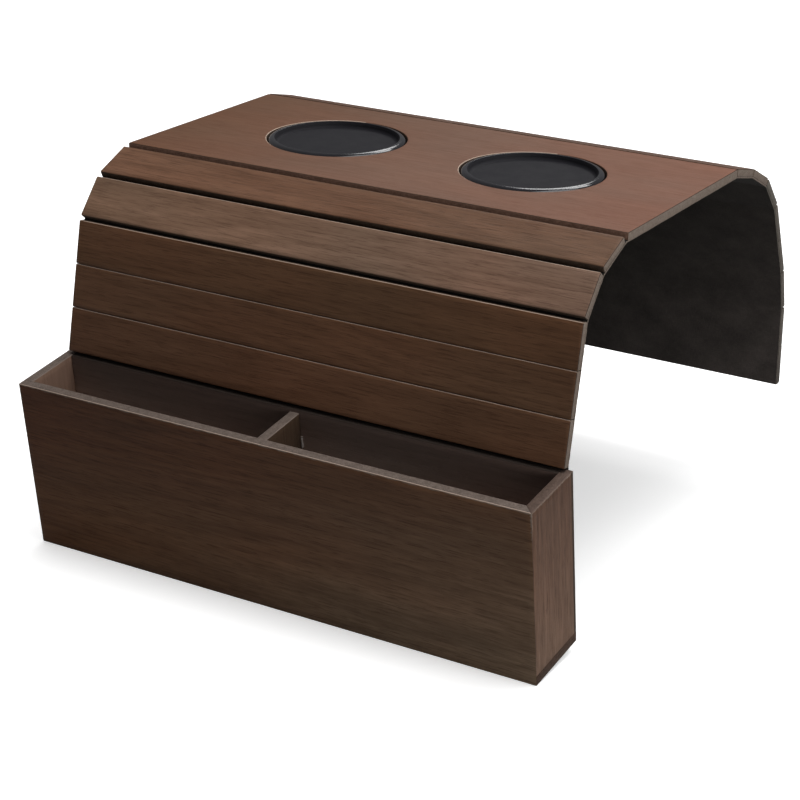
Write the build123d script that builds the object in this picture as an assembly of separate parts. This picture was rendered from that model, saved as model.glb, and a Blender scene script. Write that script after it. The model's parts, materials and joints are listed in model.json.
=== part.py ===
from build123d import *
import os
from math import cos, radians, sin

# Sofa arm tray: a flexible mat of wooden slats that hangs over the arm of a sofa. A wide flat panel
# lies on the arm and holds two drop-in dishes for cups. Narrow slats hang down on both sides, and a
# wooden box with two compartments hangs from the last slat on the side of the seat.
#
# All sizes are millimetres. X runs along the arm, -Y points to the seat side with the box, which is
# called the near side, and +Z is up. The origin is the middle of the cloth under the flat panel,
# where the tray rests on the arm.

# Driving sizes of the mat
tray_length = 330.0
panel_width = 150.0
slat_width = 25.5
wood_thickness = 4.5
backing_thickness = 1.0
edge_ease = 0.5
end_ease = 1.2

# Open width between neighbours while the mat lies flat: the cloth shows in it and bends there
first_gap = 3.0
second_gap = 1.6
slat_gap = 0.6
box_gap = 1.2
backing_slit = 0.3

# Fold at each bend of the hanging mat, counted outwards from the flat panel
near_fold_degrees = (23.0, 27.0, 29.0, 0.0, 0.0)
box_fold_degrees = 19.0
far_fold_degrees = (13.0, 12.0, 22.0, 19.0, 0.0, 10.0, 12.0, 0.0)

# Driving sizes of the cup dishes and of their holes
cup_hole_diameter = 86.0
cup_spacing = 134.0
cup_setback = 4.0
hole_ease = 0.6
dish_clearance = 0.6
dish_seat_gap = 0.3
dish_rim_drop = 0.7
dish_rim_width = 3.6
dish_slope_width = 1.6
dish_floor = 1.3
dish_round = 0.5
dish_foot_ease = 0.6

# Driving sizes of the storage box
box_overhang = 3.0
box_length = tray_length + box_overhang * 2
box_depth = 47.5
box_height = 108.0
board_thickness = 6.0
board_ease = 0.5
divider_offset = -3.0
divider_drop = 1.5

# One overrun serves every cut
overrun = 1.0

# Heights above the inner face of the cloth
wood_base = backing_thickness
wood_top = backing_thickness + wood_thickness


def bar(length, low, high, base, top, ease_low, ease_high):
    """A straight bar along X, from low to high across and base to top in height, outer edges eased."""
    middle = Pos((low + high) / 2, (base + top) / 2)
    profile = Plane.YZ * middle * Rectangle(high - low, top - base)
    for ease, pick in ((ease_low, 0), (ease_high, -1)):
        if ease > 0:
            corner = profile.vertices().group_by(Axis.Z)[-1].sort_by(Axis.Y)[pick]
            profile = fillet(corner, ease)
    return extrude(profile, length / 2, both=True)


def segment_frames(side, gaps, folds):
    """The frame at each bend line of one hanging side, from the flat panel outwards.

    In a frame, Y runs down the segment, Z points out of the wood, and the bend line is its X axis.
    """
    frames = []
    tilt = 0
    y = side * (panel_width / 2 + gaps[0] / 2)
    z = 0
    for index, fold in enumerate(folds):
        tilt += fold
        outwards = (0, side * sin(radians(tilt)), cos(radians(tilt)))
        frames.append(Plane(origin=(0, y, z), x_dir=(side, 0, 0), z_dir=outwards))
        following = gaps[min(index + 1, len(gaps) - 1)]
        reach = gaps[index] / 2 + slat_width + following / 2
        y += side * reach * cos(radians(tilt))
        z -= reach * sin(radians(tilt))
    return frames


def place(frame, shape):
    """The shape, drawn flat at the origin, moved to its place in the folded mat."""
    return frame.location * shape


def make_top_panel():
    """The flat panel with its two round holes, whose upper edges are broken."""
    half = panel_width / 2
    panel = bar(tray_length, -half, half, wood_base, wood_top, edge_ease, edge_ease)
    radius = cup_hole_diameter / 2
    for x in (-cup_spacing / 2, cup_spacing / 2):
        hole = Cylinder(radius, wood_thickness + overrun * 2, align=(Align.CENTER, Align.CENTER, Align.MIN))
        panel -= Pos(x, cup_setback, wood_base - overrun) * hole
        rim = Cone(radius, radius + hole_ease + overrun, hole_ease + overrun,
                   align=(Align.CENTER, Align.CENTER, Align.MIN))
        panel -= Pos(x, cup_setback, wood_top - hole_ease) * rim
    return panel


def make_dish(x):
    """A shallow round dish: flat floor, sloping inner wall and a rounded rim just below the wood."""
    outer = cup_hole_diameter / 2 - dish_clearance
    base = wood_base + dish_seat_gap
    rim = wood_top - dish_rim_drop
    floor = base + dish_floor
    rim_inner = outer - dish_rim_width
    floor_outer = rim_inner - dish_slope_width
    points = [
        (0, base),
        (outer - dish_foot_ease, base),
        (outer, base + dish_foot_ease),
        (outer, rim),
        (rim_inner, rim),
        (floor_outer, floor),
        (0, floor),
    ]
    profile = Plane.XZ * make_face(Polyline(*points, close=True))
    rim_corners = profile.vertices().group_by(Axis.Z)[-1].sort_by(Axis.X)
    profile = fillet(rim_corners[0], dish_round)
    rim_corners = profile.vertices().group_by(Axis.Z)[-1].sort_by(Axis.X)
    profile = chamfer(rim_corners[-1], dish_round)
    return Pos(x, cup_setback, 0) * revolve(profile, Axis.Z)


def make_slat(gap, ease_end):
    """One wooden slat lying flat, half a gap away from its bend line."""
    return bar(tray_length, gap / 2, gap / 2 + slat_width, wood_base, wood_top, edge_ease, ease_end)


def make_backing(low, high):
    """One stretch of the cloth that is glued under the wood, between two bend lines."""
    return bar(tray_length, low, high, 0, backing_thickness, 0, 0)


def board(points, low, high):
    """A board of the box: an outline seen from above the rim, reaching from low to high down the box."""
    outline = Plane.XZ * make_face(Polyline(*points, close=True))
    return Pos(0, low, 0) * extrude(outline, low - high)


def eased(shape, level, along):
    """Breaks the long edges of a board's rim, which lie at one level down the box and run one way."""
    rim = [e for e in shape.edges().filter_by(along)
           if abs(e.center().Y - level) < board_ease / 2]
    return chamfer(rim, board_ease)


def make_box(frame):
    """The six boards of the box in the frame of its bend line: mitred front corners, sides on the bottom."""
    half = box_length / 2
    inner_half = half - board_thickness
    rear = backing_thickness
    rear_inner = rear + board_thickness
    front = rear + box_depth
    front_inner = front - board_thickness
    rim = box_gap / 2
    base = rim + box_height
    base_inner = base - board_thickness
    # Local X runs against the row's X here, so the right side has negative X
    front_points = [(-half, front), (half, front), (inner_half, front_inner), (-inner_half, front_inner)]
    bottom_points = [(-half, rear), (half, rear), (half, front), (inner_half, front_inner),
                     (-inner_half, front_inner), (-half, front)]
    back_points = [(-inner_half, rear), (inner_half, rear), (inner_half, rear_inner),
                   (-inner_half, rear_inner)]
    middle = -divider_offset
    divider_points = [(middle - board_thickness / 2, rear_inner), (middle + board_thickness / 2, rear_inner),
                      (middle + board_thickness / 2, front_inner), (middle - board_thickness / 2, front_inner)]
    boards = {
        "box_front": eased(board(front_points, rim, base), rim, Axis.X),
        "box_bottom": board(bottom_points, base_inner, base),
        "box_back": eased(board(back_points, rim, base_inner), rim, Axis.X),
        "box_divider": eased(board(divider_points, rim + divider_drop, base_inner), rim + divider_drop, Axis.Z),
    }
    for name, sign in (("box_left_side", 1), ("box_right_side", -1)):
        points = [(sign * half, rear), (sign * half, front), (sign * inner_half, front_inner),
                  (sign * inner_half, rear)]
        boards[name] = eased(board(points, rim, base_inner), rim, Axis.Z)
    boards["backing_box"] = make_backing(backing_slit / 2, base)
    return {name: place(frame, shape) for name, shape in boards.items()}


def make_side(name, frames, gaps, last_cut):
    """The slats of one hanging side with the cloth behind each, up to the free end or to the box."""
    parts = {}
    for index, frame in enumerate(frames):
        following = gaps[index + 1]
        is_end = last_cut and index == len(frames) - 1
        ease_end = end_ease if is_end else edge_ease
        reach = gaps[index] / 2 + slat_width
        cloth_end = reach if is_end else reach + following / 2 - backing_slit / 2
        parts[f"{name}_slat_{index + 1}"] = place(frame, make_slat(gaps[index], ease_end))
        parts[f"backing_{name}_{index + 1}"] = place(frame, make_backing(backing_slit / 2, cloth_end))
    return parts


near_gaps = (first_gap, second_gap) + (slat_gap,) * (len(near_fold_degrees) - 2) + (box_gap,)
far_gaps = (slat_gap,) * (len(far_fold_degrees) + 1)
near_frames = segment_frames(-1, near_gaps, near_fold_degrees + (box_fold_degrees,))
far_frames = segment_frames(1, far_gaps, far_fold_degrees)

nodes = {"top_panel": make_top_panel()}
nodes["backing_top"] = make_backing(
    -panel_width / 2 - first_gap / 2 + backing_slit / 2,
    panel_width / 2 + slat_gap / 2 - backing_slit / 2,
)
nodes["cup_dish_left"] = make_dish(-cup_spacing / 2)
nodes["cup_dish_right"] = make_dish(cup_spacing / 2)
nodes.update(make_side("near", near_frames[:-1], near_gaps, False))
nodes.update(make_side("far", far_frames, far_gaps, True))
nodes.update(make_box(near_frames[-1]))

os.makedirs("parts", exist_ok=True)
for name, shape in nodes.items():
    export_step(shape, f"parts/{name}.step")
print(len(nodes), "pieces, widest fold on the near side", max(near_fold_degrees), "degrees")
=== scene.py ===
# %% [markdown]
# # A sofa arm tray, made as a lesson
#
# The object is a mat of walnut-faced boards glued on one dark cloth. A wide flat panel with two sunk
# dishes lies on the arm of a sofa, narrow slats hang down on both sides, and a box with two
# compartments hangs from the last slat. Every board is modelled flat, where it is easy to shape, and
# is then carried to its place in the folded mat.
#
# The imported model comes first. It is a fixed frame: it says where each piece is and what moves.

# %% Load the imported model
import json
import math
import random

import bpy
from mathutils import Matrix, Vector

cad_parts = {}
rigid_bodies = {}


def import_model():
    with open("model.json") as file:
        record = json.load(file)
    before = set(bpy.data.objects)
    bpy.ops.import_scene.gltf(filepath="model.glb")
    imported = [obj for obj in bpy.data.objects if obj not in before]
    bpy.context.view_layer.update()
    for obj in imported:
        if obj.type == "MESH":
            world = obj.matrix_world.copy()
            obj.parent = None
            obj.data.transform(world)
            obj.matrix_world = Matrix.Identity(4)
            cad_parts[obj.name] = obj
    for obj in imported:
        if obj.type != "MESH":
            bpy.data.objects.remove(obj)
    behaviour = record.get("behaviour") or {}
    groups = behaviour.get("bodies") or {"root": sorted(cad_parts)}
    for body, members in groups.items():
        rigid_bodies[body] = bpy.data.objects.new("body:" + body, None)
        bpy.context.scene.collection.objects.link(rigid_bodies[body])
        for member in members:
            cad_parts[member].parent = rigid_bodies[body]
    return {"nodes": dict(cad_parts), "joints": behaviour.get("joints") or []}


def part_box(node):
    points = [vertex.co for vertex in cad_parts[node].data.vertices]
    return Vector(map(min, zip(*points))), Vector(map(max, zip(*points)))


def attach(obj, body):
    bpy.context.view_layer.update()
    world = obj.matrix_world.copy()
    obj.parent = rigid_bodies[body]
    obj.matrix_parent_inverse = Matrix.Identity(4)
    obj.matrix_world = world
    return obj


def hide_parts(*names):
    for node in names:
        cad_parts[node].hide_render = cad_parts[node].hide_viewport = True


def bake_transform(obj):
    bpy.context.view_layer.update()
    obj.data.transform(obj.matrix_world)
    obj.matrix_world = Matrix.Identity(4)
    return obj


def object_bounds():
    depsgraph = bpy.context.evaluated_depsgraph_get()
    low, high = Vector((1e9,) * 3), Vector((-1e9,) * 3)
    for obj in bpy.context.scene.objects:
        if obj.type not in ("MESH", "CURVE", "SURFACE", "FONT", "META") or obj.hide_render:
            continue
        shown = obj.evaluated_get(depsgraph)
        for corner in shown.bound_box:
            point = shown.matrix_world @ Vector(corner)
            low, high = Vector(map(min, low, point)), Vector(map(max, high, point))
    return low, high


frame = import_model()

cad_low, cad_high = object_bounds()
print("packed model fills", [round(size, 4) for size in cad_high - cad_low], "m")

# %% [markdown]
# ## Camera
#
# The camera is set first, so that every look at the work is from the same place. It was matched to
# the corners of the panel, slats and box in the photograph. A long lens far off keeps the perspective
# weak, and the small roll is real: the photograph is a little out of level.

# %% The camera's place
camera_azimuth = math.radians(30.3)
camera_elevation = math.radians(21.57)
camera_roll = math.radians(1.0)
camera_distance = 1.3495
camera_target = Vector((-0.0171, 0.0, -0.1539))
camera_lens = 97.4

back = Vector((math.sin(camera_azimuth) * math.cos(camera_elevation),
               -math.cos(camera_azimuth) * math.cos(camera_elevation),
               math.sin(camera_elevation)))
camera_data = bpy.data.cameras.new("camera")
camera_data.lens = camera_lens
camera = bpy.data.objects.new("camera", camera_data)
bpy.context.scene.collection.objects.link(camera)
camera.rotation_mode = "QUATERNION"
camera.location = camera_target + back * camera_distance
level = (-back).to_track_quat("-Z", "Y")
camera.rotation_quaternion = level @ Matrix.Rotation(camera_roll, 3, "Z").to_quaternion()
bpy.context.scene.camera = camera
print("camera stands at", [round(value, 3) for value in camera.location])

# %% [markdown]
# ## Studio
#
# A broad soft light stands over the object, and weaker lamps stand on the right and behind. They give
# the photograph its bright top, middling end faces and dark front. The floor and the world show the
# camera a near white, but send little light back at the object, so its dark faces stay dark. Gloss
# sees a faint white, strongest low on the left, and a lamp high behind on the left, which makes the
# gleam on the lips of the dishes.

# %% Node helpers
def fill(tree, node, inputs):
    """Gives each named input of a node its value, or joins it to another node's output."""
    for name, value in inputs.items():
        if isinstance(value, bpy.types.NodeSocket):
            tree.links.new(value, node.inputs[name])
        else:
            node.inputs[name].default_value = value


def add_node(tree, kind, inputs=None, **settings):
    """A node with its settings and its inputs."""
    made = tree.nodes.new("ShaderNode" + kind)
    for name, value in settings.items():
        setattr(made, name, value)
    fill(tree, made, inputs or {})
    return made


def calculate(tree, operation, *values, **settings):
    """The result of a Math node."""
    return add_node(tree, "Math", dict(enumerate(values)), operation=operation, **settings).outputs[0]


def reach(tree, value, low, high, start=0.0, end=1.0):
    """Goes from start to end as the value goes from low to high, and is held there."""
    return add_node(tree, "MapRange", {"Value": value, "From Min": low, "From Max": high,
                                       "To Min": start, "To Max": end}).outputs["Result"]


def mix(tree, factor, first, second, **settings):
    """The two values mixed by a factor."""
    return add_node(tree, "Mix", {"Factor": factor, "A": first, "B": second}, **settings).outputs["Result"]


def mix_colours(tree, factor, first, second, blend_type="MIX"):
    """The two colours mixed by a factor."""
    return mix(tree, factor, first, second, data_type="RGBA", blend_type=blend_type)


def seen_directly(tree, gloss):
    """1 for rays from the camera or through glass, and gloss for rays that a glossy surface sends on."""
    path = add_node(tree, "LightPath").outputs
    direct = calculate(tree, "MAXIMUM", path["Is Camera Ray"], path["Is Transmission Ray"])
    return calculate(tree, "MAXIMUM", direct, calculate(tree, "MULTIPLY", path["Is Glossy Ray"], gloss))


# %% World
backdrop_white = (1.0, 1.0, 1.0, 1.0)
room_light = (0.095, 0.095, 0.10, 1.0)
horizon_gloss, upper_gloss = 0.16, 0.08
horizon_low, horizon_high = 0.08, 0.24
sweep_left, sweep_right, right_share = -0.22, 0.12, 0.25
rightward = Vector((math.cos(camera_azimuth), math.sin(camera_azimuth), 0))

world = bpy.data.worlds.new("studio")
world.use_nodes = True
tree = world.node_tree
tree.nodes.clear()
direction = add_node(tree, "TexCoord").outputs["Generated"]
rise = add_node(tree, "SeparateXYZ", {0: direction}).outputs["Z"]
low_part = reach(tree, rise, horizon_low, horizon_high, horizon_gloss, 0.0)
sideways = add_node(tree, "VectorMath", {0: direction, 1: rightward}, operation="DOT_PRODUCT")
left_part = reach(tree, sideways.outputs["Value"], sweep_left, sweep_right, 1.0, right_share)
sweep = calculate(tree, "MAXIMUM", calculate(tree, "MULTIPLY", low_part, left_part), upper_gloss)
shade = mix_colours(tree, seen_directly(tree, sweep), room_light, backdrop_white)
background = add_node(tree, "Background", {"Color": shade})
add_node(tree, "OutputWorld", {"Surface": background.outputs[0]})
bpy.context.scene.world = world
bpy.context.scene.view_settings.view_transform = "Standard"

# %% Lamps
def add_lamp(name, kind, power):
    """A lamp of one kind in the scene."""
    lamp = bpy.data.objects.new(name, bpy.data.lights.new(name, kind))
    lamp.data.energy = power
    bpy.context.scene.collection.objects.link(lamp)
    return lamp


def soft_lamp(name, place, aim, width, height, power):
    """A soft rectangular lamp at a place, turned to its aim."""
    lamp = add_lamp(name, "AREA", power)
    lamp.data.shape = "RECTANGLE"
    lamp.data.size, lamp.data.size_y = width, height
    lamp.location = place
    lamp.rotation_euler = (aim - Vector(place)).to_track_quat("-Z", "Y").to_euler()


sky_power, sky_width, sky_lean = 1.85, math.radians(40), math.radians(-4)
sky = add_lamp("light_above", "SUN", sky_power)
sky.data.angle = sky_width
sky.rotation_euler = (sky_lean, 0, 0)
sky.visible_glossy = False

middle = (cad_low + cad_high) / 2
soft_lamp("light_above_right", (0.75, 0.1, 1.5), middle, 1.1, 1.1, 9.0)
soft_lamp("light_right", (1.8, -0.25, 0.45), middle, 0.9, 0.9, 13.0)
soft_lamp("light_front_right", (1.3, -1.4, -0.3), middle, 0.8, 0.8, 6.0)
soft_lamp("light_behind", (0.25, 1.2, 1.35), middle, 0.8, 0.55, 7.0)
soft_lamp("light_gleam", (-0.94, 2.61, 2.05), Vector(), 0.8, 1.1, 12.0)

# %% Floor
floor_size = 12.0
floor_seen = (0.97, 0.97, 0.965, 1.0)
floor_felt = (0.20, 0.20, 0.20, 1.0)
floor_lift = 0.44
floor_gloss = 0.16

bpy.ops.object.select_all(action="DESELECT")
bpy.ops.mesh.primitive_plane_add(size=floor_size, location=(0, 0, cad_low.z))
floor = bpy.context.object
floor.name = "floor"
bpy.ops.object.transform_apply(location=True, rotation=False, scale=False)
material = bpy.data.materials.new("pale floor")
material.use_nodes = True
tree = material.node_tree
tree.nodes.clear()
seen = seen_directly(tree, floor_gloss)
matt = add_node(tree, "BsdfDiffuse", {"Color": mix_colours(tree, seen, floor_felt, floor_seen)})
glow = calculate(tree, "MULTIPLY", seen, floor_lift)
lift = add_node(tree, "Emission", {"Color": backdrop_white, "Strength": glow})
surface = add_node(tree, "AddShader", {0: matt.outputs[0], 1: lift.outputs[0]})
add_node(tree, "OutputMaterial", {"Surface": surface.outputs[0]})
floor.data.materials.append(material)

# %% [markdown]
# ## Bend lines
#
# The cloth bends on straight lines between the boards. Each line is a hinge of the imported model, so
# its place is read from there. A hinge's lower limit lays its bend flat, so the limit also says how
# far the bend is folded in the picture. Adding the folds from the flat panel outwards gives the tilt
# of each board, and with it a small frame at each bend: Y runs down the board, Z points out of it.

# %% Frames of the bends
def bends_of(side, first_child):
    """The bends of one hanging side, from the flat panel outwards; side is -1 near and 1 far."""
    found = []
    child, tilt = first_child, 0.0
    while child:
        joint = next(j for j in frame["joints"] if j["child"] == child)
        fold = -math.radians(joint["range_deg"][0])
        tilt += fold
        down = Vector((0, side * math.cos(tilt), -math.sin(tilt)))
        out = Vector((0, side * math.sin(tilt), math.cos(tilt)))
        turn = Matrix((Vector((side, 0, 0)), down, out)).transposed().to_4x4()
        place = Matrix.Translation(joint["pos_m"]) @ turn
        found.append({"parent": joint["parent"], "child": child, "fold": fold, "place": place})
        child = next((j["child"] for j in frame["joints"] if j["parent"] == child), None)
    return found


near_bends = bends_of(-1, "near_1")
far_bends = bends_of(1, "far_1")
for bend in near_bends + far_bends:
    print("bend", bend["parent"], "to", bend["child"], round(math.degrees(bend["fold"])), "degrees")


# %% Sizes of the boards, read in their own frames
def extent(node, place):
    """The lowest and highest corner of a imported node, in the frame at place."""
    inverse = place.inverted()
    points = [inverse @ vertex.co for vertex in frame["nodes"][node].data.vertices]
    low = Vector([min(point[axis] for point in points) for axis in range(3)])
    high = Vector([max(point[axis] for point in points) for axis in range(3)])
    return low, high


panel_low, panel_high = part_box("top_panel")
slat_low, slat_high = extent("near_slat_3", near_bends[2]["place"])
slat_size = slat_high - slat_low
tray_length = slat_size.x
wood_thickness = slat_size.z
cloth_thickness = slat_low.z
print("slat", [round(size * 1000, 2) for size in slat_size], "mm")

# %% [markdown]
# ## Modelling helpers
#
# The pieces are made with the operators of edit mode, as by hand. An operator acts on all that is
# selected, so each helper first picks its faces, edges or points by their place.

# %% Start and select
# How squarely a face looks along an axis, as the share of its normal that points there
fully, mostly, half, partly = 0.99, 0.7, 0.5, 0.3
x_axis, y_axis, z_axis = Vector((1, 0, 0)), Vector((0, 1, 0)), Vector((0, 0, 1))


def edit(on=True):
    """Enters or leaves edit mode."""
    bpy.ops.object.mode_set(mode="EDIT" if on else "OBJECT")


def deselect():
    """Leaves edit mode and selects nothing."""
    if bpy.context.object and bpy.context.object.mode == "EDIT":
        edit(False)
    bpy.ops.object.select_all(action="DESELECT")


def make_active(piece):
    """Selects one piece alone."""
    deselect()
    bpy.context.view_layer.objects.active = piece
    piece.select_set(True)


def keep_size(name, size):
    """Names a new primitive, and keeps its size and place in its mesh."""
    piece = bpy.context.object
    piece.name = piece.data.name = name
    piece.scale = size
    bpy.ops.object.transform_apply(location=True, rotation=True, scale=True)
    return piece


def add_block(name, low, high):
    """A block between two corners."""
    deselect()
    bpy.ops.mesh.primitive_cube_add(size=1, location=(Vector(low) + Vector(high)) / 2)
    return keep_size(name, Vector(high) - Vector(low))


def add_plane(name, middle, width, length):
    """A flat rectangle round its middle."""
    deselect()
    bpy.ops.mesh.primitive_plane_add(size=1, location=middle)
    return keep_size(name, (width, length, 1))


def pick(piece, kind, test):
    """Enters edit mode with only the faces, edges or points that pass the test selected."""
    make_active(piece)
    edit()
    bpy.ops.mesh.select_mode(type=kind)
    bpy.ops.mesh.select_all(action="DESELECT")
    edit(False)
    points = piece.data.vertices
    if kind == "FACE":
        for face in piece.data.polygons:
            face.select = test(face.center, face.normal)
    elif kind == "EDGE":
        for edge in piece.data.edges:
            edge.select = test(points[edge.vertices[0]].co, points[edge.vertices[1]].co)
    else:
        for point in points:
            point.select = test(point.co)
    edit()


def pick_all(piece):
    """Enters edit mode with every point selected."""
    make_active(piece)
    edit()
    bpy.ops.mesh.select_mode(type="VERT")
    bpy.ops.mesh.select_all(action="SELECT")


def move_points(piece, test, offset):
    """Moves the points that pass the test."""
    pick(piece, "VERT", test)
    bpy.ops.transform.translate(value=offset)
    deselect()


# %% Cut, weld and copy
def cut(piece, point, normal, drop=False):
    """Cuts a piece along a plane; drop takes away the side that the normal points to and closes the cut."""
    pick_all(piece)
    bpy.ops.mesh.bisect(plane_co=point, plane_no=normal, use_fill=drop, clear_outer=drop)
    deselect()


def weld(piece, distance):
    """Merges points that lie together and turns the faces outwards."""
    pick_all(piece)
    bpy.ops.mesh.remove_doubles(threshold=distance)
    bpy.ops.mesh.normals_make_consistent(inside=False)
    deselect()


def apply_modifier(piece, kind, **settings):
    """Adds a modifier with its settings and applies it."""
    make_active(piece)
    modifier = piece.modifiers.new(kind.lower(), kind)
    for name, value in settings.items():
        setattr(modifier, name, value)
    bpy.ops.object.modifier_apply(modifier=modifier.name)


def copy_piece(source, name):
    """A copy with its own mesh."""
    piece = source.copy()
    piece.data = source.data.copy()
    piece.name = piece.data.name = name
    bpy.context.scene.collection.objects.link(piece)
    return piece


# %% Break edges and mark where they wear
def break_edges(piece, test, width, segments=3):
    """Rounds the picked edges by a small width."""
    pick(piece, "EDGE", test)
    bpy.ops.mesh.bevel(offset=width, segments=segments, affect="EDGES", clamp_overlap=True)
    deselect()


def mark_wear(piece, test, width):
    """Insets the picked faces by a width and stores 1 at the rim and 0 inside as the attribute edge."""
    pick(piece, "FACE", test)
    bpy.ops.mesh.inset(thickness=width)
    deselect()
    wear = [0.0 if point.select else 1.0 for point in piece.data.vertices]
    new_values(piece, "edge", "FLOAT").foreach_set("value", wear)


# A row of tints that changes nothing
even = ((1, 1, 1), (1, 1, 1))
wood_smooth_below = 50


def new_values(piece, name, kind="FLOAT_VECTOR"):
    """A new attribute with one value for each point."""
    return piece.data.attributes.new(name, kind, "POINT").data


def tone_at(tones, share):
    """The colour at a share of the way along a row of tones."""
    start = min(int(share * (len(tones) - 1)), len(tones) - 2)
    return Vector(tones[start]).lerp(Vector(tones[start + 1]), share * (len(tones) - 1) - start)


def share_along(piece, axis):
    """Each point's share of the way through the piece along an axis."""
    reaches = [point.co.dot(axis) for point in piece.data.vertices]
    return [(value - min(reaches)) / (max(reaches) - min(reaches)) for value in reaches]


def lay_grain(piece, along, across, depth, face, shift, tints=even, sides=even):
    """Stores each point's place in the board: along the grain, across it and down from the face.

    Veneer is never one tone, so the product of a row of tints along the grain and another across it is
    stored as the attribute shade. On some boards the tints also carry painted light, shade and sheen.
    """
    new_values(piece, "grain")
    new_values(piece, "shade")
    places, shades = (piece.data.attributes[name].data for name in ("grain", "shade"))
    shares = zip(share_along(piece, along), share_along(piece, across))
    for point, place, tone, (far, over) in zip(piece.data.vertices, places, shades, shares):
        place.vector = (point.co.dot(along) + shift[0], point.co.dot(across) + shift[1],
                        abs(point.co.dot(depth) - face))
        tone.vector = [one * other for one, other in zip(tone_at(tints, far), tone_at(sides, over))]


def place_piece(piece, place):
    """Carries a finished piece to its place, which goes into its mesh."""
    make_active(piece)
    piece.matrix_world = place
    bpy.ops.object.transform_apply(location=True, rotation=True, scale=True)
    deselect()


def paint(piece, materials, look):
    """Gives a piece its materials, and each face the one whose number look gives for it."""
    for material in materials:
        piece.data.materials.append(material)
    for face in piece.data.polygons:
        face.material_index = look(face.center, face.normal)


def shade_smooth(piece, degrees):
    """Shades faces that meet at less than the angle as one surface."""
    make_active(piece)
    bpy.ops.object.shade_smooth_by_angle(angle=math.radians(degrees))
    deselect()


def finish_piece(piece, body, slot, *nodes):
    """Smooths the small bevels, sets the piece under the body it moves with and hides the imported nodes it
    stands in for; slot is not used.
    """
    shade_smooth(piece, wood_smooth_below)
    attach(piece, body)
    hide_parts(*nodes)


# %% [markdown]
# ## Walnut
#
# The boards are fibreboard faced with thin walnut, which shows several scales at once: wide clouds of
# tone, fine streaks along the board, short dark flecks, and flames, where the cut runs through rings
# of growth. The flames are the contour lines of a smooth hilly noise. All of it is long along the
# grain and reads the stored place in the board, so it follows a tilted board, and a shift per board
# keeps neighbours from looking alike.

# %% Group helpers
def new_group(name, inputs, outputs):
    """A shader node group with named sockets: its tree, what it is given and its output node."""
    group = bpy.data.node_groups.new(name, "ShaderNodeTree")
    for way, sockets in (("INPUT", inputs), ("OUTPUT", outputs)):
        for title, kind in sockets.items():
            group.interface.new_socket(title, in_out=way, socket_type="NodeSocket" + kind)
    return group, group.nodes.new("NodeGroupInput").outputs, group.nodes.new("NodeGroupOutput")


def use_group(tree, group, inputs):
    """The outputs of a group that a material runs with its own values."""
    return add_node(tree, "Group", inputs, node_tree=group).outputs


def noise(tree, place, spots, detail, roughness, *ends):
    """Noise with so many spots a metre along X, Y and Z; its two ends, if given, become 0 and 1."""
    scaled = add_node(tree, "VectorMath", {0: place, 1: spots}, operation="MULTIPLY").outputs[0]
    value = add_node(tree, "TexNoise", {"Vector": scaled, "Scale": 1.0, "Detail": detail,
                                        "Roughness": roughness}).outputs["Fac"]
    return reach(tree, value, *ends) if ends else value


def multiply(tree, first, second):
    """The two colours multiplied."""
    return mix_colours(tree, 1.0, first, second, "MULTIPLY")


# %% Walnut group
# A noise is its spots a metre, its detail, its roughness and, if it is spread out, its two ends
cloud_noise = (5.0, 30.0, 30.0), 3.0, 0.55, 0.32, 0.68
streak_noise = (34.0, 480.0, 480.0), 5.0, 0.65, 0.34, 0.66
dash_noise = (46.0, 900.0, 900.0), 4.0, 0.7, 0.52, 0.64
flame_noise = (2.6, 21.0, 21.0), 1.5, 0.45
fleck_noise = (75.0, 1250.0, 1250.0), 3.0, 0.6, 0.56, 0.68
hue_noise = (7.0, 16.0, 16.0), 2.0, 0.5, 0.35, 0.65
flame_lines = 74.0
flame_share, cloud_share, fleck_share = 0.36, 0.34, 0.6
middle_tone = 0.55
pore_tint = (0.66, 0.62, 0.62, 1)
red_tint, olive_tint = (1.04, 0.985, 0.96, 1), (0.96, 1.01, 1.03, 1)

walnut, given, made = new_group(
    "walnut figure",
    {"Place": "Vector", "Pale": "Color", "Deep": "Color", "Figure": "Float", "Shade": "Color"},
    {"Colour": "Color", "Height": "Float"})
place, figure = given["Place"], given["Figure"]
clouds = noise(walnut, place, *cloud_noise)
streaks = noise(walnut, place, *streak_noise)
flecks = calculate(walnut, "MAXIMUM", noise(walnut, place, *dash_noise), noise(walnut, place, *fleck_noise))
hill = calculate(walnut, "MULTIPLY", noise(walnut, place, *flame_noise), flame_lines)
contour = calculate(walnut, "SINE", hill)
flames = reach(walnut, contour, -1.0, 0.7)
tone = mix(walnut, cloud_share, mix(walnut, flame_share, streaks, flames), clouds)
spread = calculate(walnut, "MULTIPLY", calculate(walnut, "SUBTRACT", tone, middle_tone), figure)
level_tone = calculate(walnut, "ADD", spread, 0.5, use_clamp=True)
faced = mix_colours(walnut, level_tone, given["Deep"], given["Pale"])
hue = mix_colours(walnut, noise(walnut, place, *hue_noise), red_tint, olive_tint)
tinted = multiply(walnut, faced, hue)
fleck_depth = calculate(walnut, "MULTIPLY", calculate(walnut, "MULTIPLY", flecks, figure), fleck_share)
flecked = mix_colours(walnut, fleck_depth, tinted, multiply(walnut, given["Deep"], pore_tint))
fill(walnut, made, {"Colour": multiply(walnut, flecked, given["Shade"]),
                    "Height": calculate(walnut, "SUBTRACT", streaks, flecks)})
print("walnut group has", len(walnut.nodes), "nodes")

# %% [markdown]
# ## Wear and bare fibreboard
#
# Handling rubs the walnut thin along its edges, and pale fibreboard shows through in an uneven line.
# Its mask is the stored edge value, broken up by noise. The cut ends are bare fibreboard all over:
# fine speckled fibres, with the walnut layer as a thin dark line at the face.

# %% Wear group
flake_noise = (160.0, 700.0, 700.0), 4.0, 0.7
worn_ends = 0.72, 0.95

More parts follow.
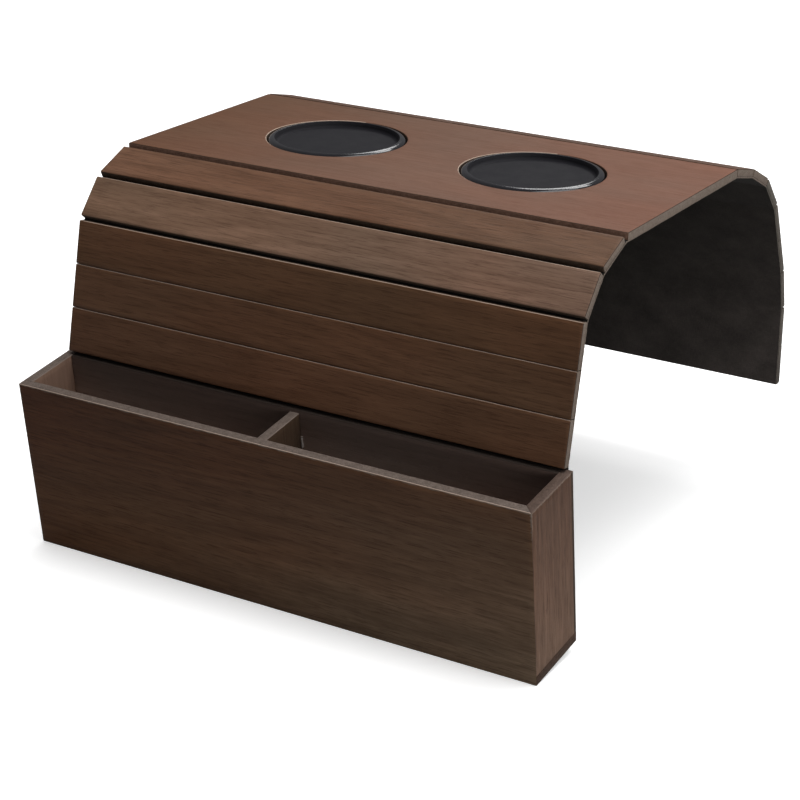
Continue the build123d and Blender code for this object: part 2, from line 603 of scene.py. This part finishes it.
tree, given, made = new_group("edge wear", {"Place": "Vector", "Edge": "Float", "Amount": "Float"},
                              {"Mask": "Float"})
flakes = noise(tree, given["Place"], *flake_noise)
wear_and_felt_light = calculate(tree, "ADD", flakes, given["Amount"])
near_edge = calculate(tree, "MULTIPLY", wear_and_felt_light, given["Edge"])
fill(tree, made, {"Mask": reach(tree, near_edge, *worn_ends)})
wear_group = tree

# %% Fibreboard group
fibre_noise, fibre_ends = ((1100.0, 1100.0, 1400.0), 4.0, 0.7), (0.38, 0.62)
blotch_noise = (330.0, 330.0, 330.0), 3.0, 0.5, 0.38, 0.62
blotch_share = 0.30
walnut_layer, layer_end = 0.0003, 0.00048

tree, given, made = new_group(
    "bare fibreboard",
    {"Place": "Vector", "Thickness": "Float", "Pale": "Color", "Deep": "Color", "Face": "Color"},
    {"Colour": "Color", "Height": "Float"})
fibres = noise(tree, given["Place"], *fibre_noise)
blotches = noise(tree, given["Place"], *blotch_noise)
speckle = mix(tree, blotch_share, reach(tree, fibres, *fibre_ends), blotches)
speckled = mix_colours(tree, speckle, given["Deep"], given["Pale"])
depth = add_node(tree, "SeparateXYZ", {0: given["Place"]}).outputs["Z"]
from_back = calculate(tree, "SUBTRACT", given["Thickness"], depth)
nearest = calculate(tree, "MINIMUM", depth, from_back)
layer = reach(tree, nearest, walnut_layer, layer_end, 1.0, 0.0)
fill(tree, made, {"Colour": mix_colours(tree, layer, speckled, given["Face"]), "Height": fibres})
fibreboard = tree

# %% Colours of the wood
# Each pair is a pale and a deep tone
panel_wood = (0.226, 0.116, 0.075, 1), (0.143, 0.070, 0.044, 1)
slat_wood = (0.250, 0.120, 0.066, 1), (0.130, 0.060, 0.031, 1)
box_wood = (0.215, 0.106, 0.058, 1), (0.115, 0.054, 0.028, 1)
core = (0.218, 0.174, 0.141, 1), (0.136, 0.105, 0.083, 1)
# Painted shade: darker fibreboard for the cut ends low on the far side.
far_core_in_painted_shade = (0.145, 0.128, 0.108, 1), (0.090, 0.078, 0.066, 1)
arris_pale = (0.420, 0.320, 0.255, 1)
rim = (0.165, 0.129, 0.109, 1), (0.078, 0.060, 0.050, 1)
# Painted shade: the rim of the back is near black, as the gap under the last slat shades it.
back_rim_in_painted_shade = (0.030, 0.021, 0.017, 1), (0.016, 0.011, 0.009, 1)
side_rim = (0.120, 0.082, 0.066, 1), (0.060, 0.040, 0.031, 1)
line_dark = (0.040, 0.024, 0.018, 1)
stain = (0.085, 0.056, 0.038, 1), (0.045, 0.029, 0.020, 1)
thin_stain = (0.290, 0.165, 0.115, 1), (0.160, 0.090, 0.062, 1)
lining_wood = (0.250, 0.172, 0.137, 1), (0.145, 0.100, 0.080, 1)


# %% Walnut and fibreboard materials
def start_material(name):
    """A new material with a Principled shader, and its tree and shader."""
    material = bpy.data.materials.new(name)
    material.use_nodes = True
    tree = material.node_tree
    return material, tree, tree.nodes["Principled BSDF"]


def stored(tree, name):
    """Reads an attribute that the modelling stored."""
    return add_node(tree, "Attribute", attribute_name=name).outputs


def raised(tree, height, distance, strength):
    """A normal that raises the surface by a height, without a change of outline."""
    made = add_node(tree, "Bump", {"Height": height, "Distance": distance, "Strength": strength})
    return made.outputs["Normal"]


def walnut_material(name, pale, deep, figure, wear, shine=0.2):
    """Satin walnut that wears pale along its edges."""
    material, tree, shader = start_material(name)
    place = stored(tree, "grain")["Vector"]
    face = use_group(tree, walnut, {"Place": place, "Pale": pale, "Deep": deep, "Figure": figure,
                                    "Shade": stored(tree, "shade")["Color"]})
    worn = use_group(tree, wear_group,
                     {"Place": place, "Edge": stored(tree, "edge")["Fac"], "Amount": wear})
    fill(tree, shader, {"Base Color": mix_colours(tree, worn["Mask"], face["Colour"], core[0]),
                        "Roughness": reach(tree, face["Height"], -1.0, 1.0, 0.62, 0.44),
                        "Normal": raised(tree, face["Height"], 0.0001, 0.5), "Specular IOR Level": shine})
    return material


def cut_material(name, thickness, pale, deep, line):
    """The cut edge of a board; line is the colour of the walnut layer along the face."""
    material, tree, shader = start_material(name)
    face = use_group(tree, fibreboard, {"Place": stored(tree, "grain")["Vector"], "Thickness": thickness,
                                        "Pale": pale, "Deep": deep, "Face": line})
    fill(tree, shader, {"Base Color": face["Colour"], "Specular IOR Level": 0.25,
                        "Roughness": reach(tree, face["Height"], 0.3, 0.7, 0.9, 0.7),
                        "Normal": raised(tree, face["Height"], 0.00015, 0.6)})
    return material


panel_face = walnut_material("walnut of the panel", *panel_wood, 0.5, 0.05, 0.05)
slat_face = walnut_material("walnut of the slats", *slat_wood, 1.0, 0.08)
box_face = walnut_material("walnut of the box", *box_wood, 1.2, 0.42)
lining = walnut_material("dark lining of the box", *lining_wood, 0.5, 0.0)
one_sided = 1.0
slat_cut = cut_material("cut end of the mat", one_sided, *core, line_dark)
far_cut_in_painted_shade = cut_material("dark cut end of the mat", one_sided, *far_core_in_painted_shade, line_dark)
bare_arris_and_highlight = cut_material("bare arris, with painted highlight at the holes", wood_thickness, arris_pale, core[0], arris_pale)
stained = cut_material("stained edge", wood_thickness, *stain, stain[1])
panel_edge = cut_material("thinly stained edge", wood_thickness, *thin_stain, stain[1])

# %% [markdown]
# ## Slats
#
# Thirteen slats of one size make the hanging sides, so three are modelled flat and copied to the
# bends. A slat is a block whose edges are broken by less than a millimetre, and a little more at the
# far end of the mat. Its outer face is walnut and its long edges are stained dark. The cut ends are
# bare, and so is the upper arris of most near slats, which is the thin pale line along them.

# %% The first slats
edge_break = 0.0005
slat_break = 0.0008
far_break = 0.0003
end_break, end_steps = 0.0012, 4
wear_reach = 0.002
joint_fill = 0.0002
wood_top = cloth_thickness + wood_thickness


def mat_look(normal, bare_arris=False):
    """Stain on the long edges, bare cut ends, walnut outside and perhaps a bare arris: 0, 1, 2 and 3."""
    if abs(normal.x) > mostly:
        return 1
    if normal.z > partly:
        return 3 if bare_arris and normal.y < -partly else 2
    return 0


def flat_slat(name, width, free_end=False):
    """A slat that lies flat with its upper long edge on the X axis; a free end has a wider break."""
    lower = slat_size.y + joint_fill
    piece = add_block(name, (-tray_length / 2, -joint_fill, cloth_thickness),
                      (tray_length / 2, lower, wood_top))
    if free_end:
        break_edges(piece, lambda a, b: min(a.z, b.z) > wood_top - edge_break
                    and min(a.y, b.y) > lower - edge_break, end_break, end_steps)
    break_edges(piece, lambda a, b: (b - a).length > slat_size.z / 2, width)
    mark_wear(piece, lambda middle, normal: normal.z > fully, wear_reach)
    return piece


slat = flat_slat("flat_slat", slat_break)
far_slat = flat_slat("flat_far_slat", far_break)
end_slat = flat_slat("flat_end_slat", far_break, free_end=True)
print("a slat has", len(slat.data.polygons), "faces")


# %% Copies at every bend
bare_slats = ("near_2", "near_3", "near_4", "near_5")
# Each near slat has its own tone; the cool grey of the tints of near_1 and near_2 is painted sheen.
slat_tones_and_sheen = {"near_1": ((0.67, 0.745, 0.815), (0.835, 0.91, 1.0)),
              "near_2": ((1.03, 1.32, 1.70), (1.22, 1.60, 1.95)),
              "near_3": ((0.68, 0.71, 0.66), (0.80, 0.83, 0.79)),
              "near_4": ((0.70, 0.73, 0.70), (0.78, 0.79, 0.77)),
              "near_5": ((0.70, 0.72, 0.70), (0.74, 0.75, 0.74))}
# Painted shade: the walnut of the far slats is made about half as bright.
far_painted_shade = ((0.52, 0.52, 0.52), (0.50, 0.50, 0.50))
slat_shift = Vector((0.7, 0.21))
box_fill = 0.0006


def end_of(body):
    """The look of the cut ends of a body, darkened with painted shade low on the far side."""
    return far_cut_in_painted_shade if body.startswith("far") and body > "far_2" else slat_cut


def set_slat(source, bend, number):
    """A copy of a flat slat at its bend, with its own stretch of grain."""
    body = bend["child"]
    node = body.replace("_", "_slat_")
    piece = copy_piece(source, node + "_wood")
    lay_grain(piece, x_axis, y_axis, z_axis, wood_top, slat_shift * number, slat_tones_and_sheen.get(body, far_painted_shade))
    paint(piece, (stained, end_of(body), slat_face, bare_arris_and_highlight),
          lambda middle, normal: mat_look(normal, body in bare_slats))
    if body == near_bends[-1]["parent"]:
        move_points(piece, lambda co: co.y > slat_size.y / 2, (0, box_fill, 0))
    gap = extent(node, bend["place"])[0].y
    place_piece(piece, bend["place"] @ Matrix.Translation((0, gap, 0)))
    finish_piece(piece, body, "slat_wood", node)


for number, bend in enumerate(near_bends[:-1] + far_bends):
    source = end_slat if bend is far_bends[-1] else far_slat if bend in far_bends else slat
    set_slat(source, bend, number)
for spent in (slat, far_slat, end_slat):
    bpy.data.objects.remove(spent)
print("slats made:", len(near_bends) - 1 + len(far_bends))

# %% [markdown]
# ## Flat panel
#
# A boolean cut would leave long thin faces round the two holes, so half of the panel is bridged
# instead: a circle and an outline with the same number of points, joined by straight strips. The
# other half is its mirror image. An inset then follows the outline and both holes at once, and
# Solidify gives the board its thickness.

# %% Panel with its holes
hole_points = 96
panel_merge = 0.00005
dish_clearance = 0.0006
dish_low, dish_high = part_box("cup_dish_right")
dish_centre = (dish_low + dish_high) / 2
dish_radius = (dish_high.x - dish_low.x) / 2
hole_radius = dish_radius + dish_clearance
panel_top = panel_high.z

panel = add_plane("top_panel_wood", (panel_high.x / 2, 0, panel_top), panel_high.x,
                  panel_high.y - panel_low.y)
edit()
bpy.ops.mesh.delete(type="ONLY_FACE")
bpy.ops.mesh.select_all(action="SELECT")
bpy.ops.mesh.subdivide(number_cuts=hole_points // 4 - 1)
bpy.ops.mesh.primitive_circle_add(vertices=hole_points, radius=hole_radius,
                                  location=(dish_centre.x, dish_centre.y, panel_top))
bpy.ops.mesh.select_all(action="SELECT")
bpy.ops.mesh.bridge_edge_loops()
deselect()


# %% Panel's other half, wear and thickness
def from_hole(point):
    """The way to a point from the middle of the nearer hole, seen from above."""
    return point.xy - Vector((math.copysign(dish_centre.x, point.x), dish_centre.y))


def beyond_outline(point):
    """How far a point lies outside the panel's outline, which is negative within it."""
    return max(abs(point.x) - panel_high.x, abs(point.y) - panel_high.y)


def on_rim(a, b):
    """A test for edges round the holes and round the outline of the panel's upper face."""
    if min(a.z, b.z) < panel_top - edge_break:
        return False
    round_hole = max(from_hole(a).length, from_hole(b).length) < hole_radius + edge_break
    return round_hole or min(beyond_outline(a), beyond_outline(b)) > -edge_break


apply_modifier(panel, "MIRROR", use_axis=(True, False, False), merge_threshold=panel_merge)
weld(panel, panel_merge)
if panel.data.polygons[0].normal.z < 0:
    pick_all(panel)
    bpy.ops.mesh.flip_normals()
mark_wear(panel, lambda middle, normal: True, wear_reach)
apply_modifier(panel, "SOLIDIFY", thickness=wood_thickness, offset=-1.0)
break_edges(panel, on_rim, edge_break)

# %% Looks of the panel
panel_tints = ((0.67, 0.675, 0.62), (0.90, 0.985, 1.065), (0.975, 0.95, 1.005))
panel_shift = (0.31, 0.47)
# Painted highlight: each hole's bevel takes the pale bare colour only on its left side, turned a little to
# the far side, towards the light; elsewhere it stays walnut.
lit_towards = Vector((-0.967, 0.253))
lit_share = 0.35


def look_of_panel(middle, normal):
    """As a slat, but each hole's bevel is pale only on its side towards the light, a painted highlight, and
    the near edge is stained thinly.
    """
    if beyond_outline(middle) < -edge_break and abs(normal.z) < fully:
        lit_side = from_hole(middle).normalized().dot(lit_towards) > lit_share
        return (3 if lit_side else 2) if normal.z > partly else 0
    return 4 if normal.y < -mostly else mat_look(normal)


lay_grain(panel, x_axis, y_axis, z_axis, panel_top, panel_shift, panel_tints)
paint(panel, (stained, slat_cut, panel_face, bare_arris_and_highlight, panel_edge), look_of_panel)
finish_piece(panel, "top", "panel_wood", "top_panel")
print("panel has", len(panel.data.polygons), "faces")

# %% [markdown]
# ## Cup dishes
#
# A dish is round, so its half profile is drawn once, by pushing one point from corner to corner, and
# is spun about the upright axis. The lip rises from a round shoulder, which stays dark, to a narrow
# crest just above the wood, which catches the light. Inside, the wall meets the floor in a wide cove,
# so that no crumb sticks there.

# %% Profile of a dish
bead_wide, bead_high = 0.0034, 0.0030
crown_width = 0.0012
crown_rise = 0.0008
crown_tilt = math.radians(13)
lip_round = 0.0006
wall_width = 0.0006
cove = 0.0022
floor_rise = 0.0013
foot_ease = 0.0006
bead_steps = 12
round_steps = 4
cove_steps = 8
spin_steps = 128
dish_merge = 0.00001
crown_level = panel_top + crown_rise
base_level = dish_low.z


def draw_profile(name, points):
    """A path of edges in the XZ plane: one point is pushed from corner to corner."""
    piece = add_plane(name, (0, 0, 0), 1, 1)
    pick_all(piece)
    bpy.ops.mesh.merge(type="CENTER")
    bpy.ops.transform.translate(value=points[0])
    for start, end in zip(points, points[1:]):
        step = Vector(end) - Vector(start)
        bpy.ops.mesh.extrude_vertices_move(TRANSFORM_OT_translate={"value": step})
    deselect()
    return piece


def arc(centre, wide, high, first, last, steps):
    """Points on an ellipse from one angle to another, both measured from the upright."""
    points = []
    for step in range(steps + 1):
        turn = first + (last - first) * step / steps
        points.append((centre[0] + wide * math.sin(turn), 0, centre[1] + high * math.cos(turn)))
    return points


quarter = math.pi / 2
crown_outer = dish_radius - bead_wide * (1 - math.sin(crown_tilt))
crown_inner = crown_outer - crown_width
bead_level = crown_level - crown_width * math.tan(crown_tilt) - bead_high * math.cos(crown_tilt)
floor_level = base_level + floor_rise
floor_radius = crown_inner - lip_round - wall_width - cove
profile = [(0, 0, base_level), (dish_radius - foot_ease, 0, base_level),
           (dish_radius, 0, base_level + foot_ease)]
profile += arc((dish_radius - bead_wide, bead_level), bead_wide, bead_high, quarter, crown_tilt, bead_steps)
profile += arc((crown_inner, crown_level - lip_round), lip_round, lip_round, 0, -quarter, round_steps)
profile += arc((floor_radius, floor_level + cove), cove, -cove, quarter, 0, cove_steps)
profile += [(floor_radius - foot_ease, 0, floor_level), (0, 0, floor_level)]
dish = draw_profile("flat_dish", profile)
pick_all(dish)
bpy.ops.mesh.spin(steps=spin_steps, angle=math.tau, center=(0, 0, 0), axis=z_axis)
weld(dish, dish_merge)
print("a dish has", len(dish.data.polygons), "faces")

# %% [markdown]
# The moulded plastic carries the fine even texture of its mould, which keeps the floor dull, and cups
# have left faint scuffs. The lip is smooth and shines.

# %% Plastic group and material
pebble_noise = (2600.0, 2600.0, 2600.0), 2.0, 0.5
scuff_noise = (70.0, 70.0, 70.0), 5.0, 0.65, 0.42, 0.75
plastic_dark, plastic_scuffed = (0.0078, 0.0074, 0.0098, 1), (0.0115, 0.0110, 0.0138, 1)
crest_lean = 0.05

tree, given, made = new_group(
    "moulded plastic", {"Place": "Vector", "Dark": "Color", "Scuffed": "Color"},
    {"Colour": "Color", "Height": "Float", "Gloss": "Float"})
scuffs = noise(tree, given["Place"], *scuff_noise)
fill(tree, made, {"Colour": mix_colours(tree, scuffs, given["Dark"], given["Scuffed"]),
                  "Height": noise(tree, given["Place"], *pebble_noise), "Gloss": scuffs})
plastic_group = tree


def plastic_material(name, smooth, scuffed, shine):
    """Black plastic, with its roughness where it is untouched and where it is scuffed."""
    material, tree, shader = start_material(name)
    place = add_node(tree, "TexCoord").outputs["Object"]
    skin = use_group(tree, plastic_group,
                     {"Place": place, "Dark": plastic_dark, "Scuffed": plastic_scuffed})
    fill(tree, shader, {"Base Color": skin["Colour"], "Specular IOR Level": shine,
                        "Roughness": reach(tree, skin["Gloss"], 0.0, 1.0, smooth, scuffed),
                        "Normal": raised(tree, skin["Height"], 0.00004, 0.5)})
    return material


paint(dish, (plastic_material("black moulded plastic", 0.72, 0.85, 0.29),
             plastic_material("polished lip of the dish", 0.12, 0.17, 0.8)),
      lambda middle, normal: int(middle.xy.length > crown_inner - lip_round / 2 and normal.z > crest_lean))

# %% Two dishes in their holes
for side, sign in (("left", -1), ("right", 1)):
    piece = copy_piece(dish, f"cup_dish_{side}_moulding")
    place_piece(piece, Matrix.Translation((sign * dish_centre.x, dish_centre.y, 0)))
    finish_piece(piece, f"dish_{side}", "dish_plastic", f"cup_dish_{side}")
bpy.data.objects.remove(dish)

# %% [markdown]
# ## Storage box
#
# The box is six boards. The front meets the sides in mitres of 45 degrees, so that no end grain shows
# at the front corners. The sides stand on the bottom board, whose edge is the thin strip low on each
# side. Front and back have their grain along the box, and the sides have theirs upright.

# %% Boards of the box
chip_reach, calm_wear = 0.004, 0.6
rear_strip = 0.0025
lining_depth = 0.034
box_break, box_break_steps = 0.0003, 2
grain_shift = Vector((0.53, 0.29))
plain_lining = (0.8, 0.8, 0.8)

box_place = near_bends[-1]["place"]
box = {name: extent("box_" + name, box_place)
       for name in ("front", "back", "bottom", "left_side", "right_side", "divider")}
board_thickness = box["bottom"][1].y - box["bottom"][0].y
half_length = box["front"][1].x
front_face = box["front"][1].z
box_looks = {"stained": stained, "face": box_face, "inner": lining, "bare": bare_arris_and_highlight}
for look, name, tones in (("rim", "cut rim of the front", rim),
                          ("side rim", "stained rim of the sides", side_rim),
                          ("back rim", "dark rim of the back", back_rim_in_painted_shade)):
    box_looks[look] = cut_material(name, board_thickness, *tones, tones[0])


def finish_board(piece, name, grain, outer, look, tints=even, sides=even, lining_tone=None):
    """Breaks a board's edges, marks wear, gives each face its look and sets the board in the box.

    The saw has torn slivers out of the walnut only at the rim, so the wear is weaker below it.
    """
    break_edges(piece, lambda a, b: (b - a).length > board_thickness / 2, box_break, box_break_steps)
    cut(piece, (0, box["back"][0].y + lining_depth, 0), y_axis)
    mark_wear(piece, lambda middle, normal: abs(normal.dot(grain[2])) > fully, chip_reach)
    lay_grain(piece, *grain, outer, grain_shift * len(name), tints, sides)
    values = (piece.data.attributes[title].data for title in ("grain", "shade", "edge"))
    for point, place, tone, wear in zip(piece.data.vertices, *values):
        if lining_tone and place.vector.z > board_thickness / 2:
            tone.vector = lining_tone
        if point.co.y > box["front"][0].y + chip_reach / 2:
            wear.value *= calm_wear
    cut(piece, (0, 0, box["back"][0].z + rear_strip), z_axis)
    paint(piece, box_looks.values(), lambda *face: list(box_looks).index(look(*face)))
    place_piece(piece, box_place)
    finish_piece(piece, "box", "box_wood", "box_" + name)


def make_board(name, grain, outer, look, *tones, mitres=()):
    """A block finished as a board, with mitres where it meets its neighbours at the front corners.

    A mitre is the side of the corner and the way it faces: 1 on the front board, -1 on a side.
    """
    piece = add_block(f"box_{name}_board", *box[name])
    for sign, way in mitres:
        cut(piece, (sign * half_length, 0, front_face), (way * sign, 0, -way), drop=True)
    finish_board(piece, name, grain, outer, look, *tones)


# %% Front
# Painted light: the front is made paler and greyer towards its right end and its bottom, where more light
# falls, and darker and redder at its upper left.
front_light_along = ((1.22, 1.52, 1.70), (0.76, 0.60, 0.44))
front_light_down = ((0.69, 0.58, 0.50), (1.40, 1.60, 1.72))


def look_of_front(middle, normal):
    """Walnut in front and round its corners, lining behind, a bare rim with a pale arris."""
    if normal.y < -partly:
        return "bare" if normal.z > partly else "rim"
    return "inner" if normal.z < -half else "face"


make_board("front", (x_axis, y_axis, z_axis), front_face, look_of_front, front_light_along, front_light_down,
           plain_lining, mitres=((-1, 1), (1, 1)))

# %% Sides
# On the right side the tints grow paler and much cooler towards the bottom; their cool grey is painted
# sheen.
side_tones_and_sheen = {"left_side": ((1.10, 1.0, 0.90), (1.10, 1.0, 0.90)),
              "right_side": ((0.59, 0.62, 0.68), (1.10, 1.37, 1.69))}
for name in side_tones_and_sheen:
    sign = math.copysign(1, box[name][1].x)

    def look_of_side(middle, normal):
        """Walnut outside with a stained strip at the cloth, lining inside and a stained rim."""
        if normal.y < -partly:
            return "side rim" if sign < 0 else "rim"
        if normal.z < -mostly or (middle.z < box[name][0].z + rear_strip and normal.x * sign > partly):
            return "stained"
        return "inner" if normal.x * sign < -partly else "face"

    make_board(name, (y_axis, z_axis, x_axis), sign * half_length, look_of_side, side_tones_and_sheen[name], even,
               plain_lining if name == "right_side" else None, mitres=((sign, -1),))

# %% Back and divider
# Painted light: the back's lining is dark at the rim and about five times paler from a third of the way
# down, which offsets the shade deep in the box.
back_painted_light = ((0.50, 0.49, 0.50), (2.7, 2.95, 3.1), (2.7, 2.95, 3.1), (2.7, 2.95, 3.1))
divider_tints = ((0.30, 0.26, 0.20), (0.30, 0.26, 0.20))


def look_of_back(middle, normal):
    """Lining inside, a near black rim of painted shade, and stained ends."""
    if abs(normal.z) > fully:
        return "inner"
    return "back rim" if normal.y < -partly else "stained"


make_board("back", (x_axis, y_axis, z_axis), box["back"][0].z, look_of_back, even, back_painted_light)
make_board("divider", (y_axis, z_axis, x_axis), box["divider"][1].x,
           lambda middle, normal: "rim" if normal.y < -partly else "inner", divider_tints)

# %% [markdown]
# The bottom is one block whose front corners stay long: they fill the space under the mitred corners.
# Two cuts mark off the corners, which are pushed out to the front face, and their inner points are
# pulled back so that they end in a mitre.

# %% Bottom
bottom_tints = ((0.36, 0.38, 0.42), (0.36, 0.38, 0.42))
bottom_merge = 0.00001


def look_of_bottom(middle, normal):
    """Lining inside, a stained edge at the cloth and walnut elsewhere."""
    if normal.y < -fully:
        return "inner"
    return "stained" if normal.z < -mostly else "face"


bottom_low, bottom_high = box["bottom"]
inner_face = front_face - board_thickness
inner_line = half_length - board_thickness
bottom = add_block("box_bottom_board", bottom_low, (bottom_high.x, bottom_high.y, inner_face))
for sign in (-1, 1):
    cut(bottom, (sign * inner_line, 0, 0), x_axis)
pick(bottom, "FACE", lambda middle, normal: normal.z > fully and abs(middle.x) > inner_line)
bpy.ops.mesh.extrude_region_move(TRANSFORM_OT_translate={"value": (0, 0, board_thickness)})
move_points(bottom, lambda co: co.z > inner_face + board_thickness / 2
            and abs(co.x) < inner_line + edge_break, (0, 0, -board_thickness))
weld(bottom, bottom_merge)
finish_board(bottom, "bottom", (x_axis, z_axis, y_axis), bottom_high.y, look_of_bottom, bottom_tints)

# %% [markdown]
# A little glue was pressed out where the divider meets the back, and dried as a pale bead. It is a
# block that is cut into rings, made thin at its end and at one ring, and rounded by subdivision.

# %% Bead of glue
glue_wide, glue_long, glue_from_rim = 0.0014, 0.0075, 0.0145
glue_noise = (700.0, 700.0, 260.0), 3.0, 0.6
glue_ends = 0.35, 0.65
glue_deep, glue_pale = (0.22, 0.19, 0.17, 1), (0.44, 0.40, 0.37, 1)
ring_shares = (0.2, 0.45, 0.8)
thin_rings = ((0.0, 0.4), (0.45, 0.7))

glue, tree, shader = start_material("dried glue")
spots = noise(tree, add_node(tree, "TexCoord").outputs["Object"], *glue_noise)
fill(tree, shader, {"Base Color": mix_colours(tree, reach(tree, spots, *glue_ends), glue_deep, glue_pale),
                    "Roughness": reach(tree, spots, 0.3, 0.7, 0.55, 0.35),
                    "Normal": raised(tree, spots, 0.0002, 0.5)})

corner = Vector((box["divider"][0].x, box["divider"][0].y + glue_from_rim, box["back"][1].z))
bead = add_block("box_glue_bead", corner - Vector((glue_wide, 0, glue_wide / 3)),
                 corner + Vector((glue_wide / 3, glue_long, glue_wide)))
for share in ring_shares:
    cut(bead, corner + y_axis * glue_long * share, y_axis)
for share, thin in thin_rings:
    ring = corner + y_axis * glue_long * share
    pick(bead, "VERT", lambda co: abs(co.y - ring.y) < edge_break)
    bpy.ops.transform.resize(value=(thin, 1, thin), center_override=ring)
apply_modifier(bead, "SUBSURF", levels=2, render_levels=2)
bead.data.materials.append(glue)
place_piece(bead, box_place)
finish_piece(bead, "box", "box_wood")

# %% [markdown]
# ## Cloth
#
# One dark cloth is glued under all the wood, and is the only hinge. To bend smoothly at every bend
# line, it is made here as one sheet per bend, from the middle of one board to the middle of the next.
# A sheet starts flat. Its bend zone is cut into narrow rows, and each row is turned by its share of
# the fold, from the last row back to the first.

# %% Felt material
across_noise, down_noise = ((300.0, 2200.0, 900.0), 4.0, 0.7), ((2200.0, 300.0, 900.0), 4.0, 0.7)
fibre_ends = 0.4, 0.75
mottle_noise = (38.0, 52.0, 40.0), 4.0, 0.6, 0.35, 0.68
mottle_share = 0.45
felt_dark, felt_pale = (0.0142, 0.0124, 0.0106, 1), (0.041, 0.0355, 0.031, 1)
# Painted light: the felt is made about three times paler towards its right and along the mat towards the
# open end, where less shade falls.
towards_felt_light = (1.0, 1.2, 0.0)
felt_light_low, felt_light_high = 0.27, 0.47
felt_in_shade, wear_and_felt_light = (1, 1, 1, 1), (3.05, 2.95, 3.05, 1)

tree, given, made = new_group("felted cloth", {"Place": "Vector", "Dark": "Color", "Pale": "Color"},
                              {"Colour": "Color", "Height": "Float"})
fibres = calculate(tree, "MAXIMUM", noise(tree, given["Place"], *across_noise),
                   noise(tree, given["Place"], *down_noise))
mottle = noise(tree, given["Place"], *mottle_noise)
tone = mix(tree, mottle_share, reach(tree, fibres, *fibre_ends), mottle)
fill(tree, made, {"Colour": mix_colours(tree, tone, given["Dark"], given["Pale"]), "Height": fibres})
felt_group = tree

felt, tree, shader = start_material("black-brown felted cloth")
place = stored(tree, "grain")["Vector"]
skin = use_group(tree, felt_group, {"Place": place, "Dark": felt_dark, "Pale": felt_pale})
open_end = add_node(tree, "VectorMath", {0: place, 1: towards_felt_light}, operation="DOT_PRODUCT")
felt_light = reach(tree, open_end.outputs["Value"], felt_light_low, felt_light_high)
felt_light_colour = mix_colours(tree, felt_light, felt_in_shade, wear_and_felt_light)
fill(tree, shader, {"Base Color": multiply(tree, skin["Colour"], felt_light_colour), "Roughness": 0.95,
                    "Sheen Weight": 0.05, "Sheen Roughness": 0.6, "Specular IOR Level": 0.15,
                    "Normal": raised(tree, skin["Height"], 0.0003, 0.7)})

# %% One sheet
bend_reach = 0.0012
bend_rows = 6
row_step = bend_reach * 2 / bend_rows
row_lines = [(row + 0.5) * row_step - bend_reach for row in range(bend_rows)]
flat_rows = 8
cloth_inset = 0.0003
cloth_width = tray_length - cloth_inset * 2
cloth_fill = 0.92
cloth_smooth_below = 40
fray = 0.00015
random.seed(7)


def fold_rows(piece, fold):
    """Turns all that lies beyond each row by the row's share of the fold, the last row first."""
    turn = Matrix.Rotation(-fold / bend_rows, 3, "X")
    for line in reversed(row_lines):
        for point in piece.data.vertices:
            if point.co.y > line + row_step / 10:
                point.co = turn @ (point.co - y_axis * line) + y_axis * line


def cloth_sheet(name, bend, before, after, mat_place):
    """A sheet across one bend, from before the bend line to after it, both lengths of flat cloth."""
    def look_of_cloth(middle, normal):
        """Felt, but its cut ends look as the boards' do, except along the box."""
        if abs(normal.x) <= mostly or (bend["child"] == "box" and middle.y > 0):
            return 0
        return 1 if middle.y < 0 else 2

    piece = add_plane(name, (0, (after - before) / 2, 0), cloth_width, before + after)
    for line in row_lines:
        cut(piece, (0, line, 0), y_axis)
    for share in range(1, flat_rows):
        cut(piece, (0, -before + (before - bend_reach) * share / flat_rows, 0), y_axis)
        cut(piece, (0, bend_reach + (after - bend_reach) * share / flat_rows, 0), y_axis)
    for point in piece.data.vertices:
        point.co.x += math.copysign(random.uniform(-fray, fray), point.co.x)
    for point, place in zip(piece.data.vertices, new_values(piece, "grain")):
        place.vector = (point.co.x, point.co.y + mat_place, cloth_thickness)
    fold_rows(piece, bend["fold"])
    apply_modifier(piece, "SOLIDIFY", thickness=cloth_thickness * cloth_fill, offset=1.0,
                   use_even_offset=True)
    paint(piece, (felt, end_of(bend["parent"]), end_of(bend["child"])), look_of_cloth)
    parent_place = bend["place"] @ Matrix.Rotation(bend["fold"], 4, "X")
    place_piece(piece, parent_place)
    shade_smooth(piece, cloth_smooth_below)
    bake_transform(piece)
    return piece


def cloth_side(name, bends):
    """One sheet per bend, each from the middle of one board to the middle of the next."""
    before = abs(bends[0]["place"].translation.y)
    mat_place = before
    for number, bend in enumerate(bends):
        node = "backing_" + bend["child"]
        if number + 1 < len(bends):
            after = (bends[number + 1]["place"].translation - bend["place"].translation).length / 2
        else:
            after = extent(node, bend["place"])[1].y
        piece = cloth_sheet(f"{name}_cloth_{number + 1}", bend, before, after, mat_place)
        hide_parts(*(["backing_top", node] if number == 0 else [node]))
        print(piece.name, "is", round((before + after) * 1000, 1), "mm long when flat")
        mat_place += after * 2
        before = after


cloth_side("near", near_bends)
cloth_side("far", far_bends)
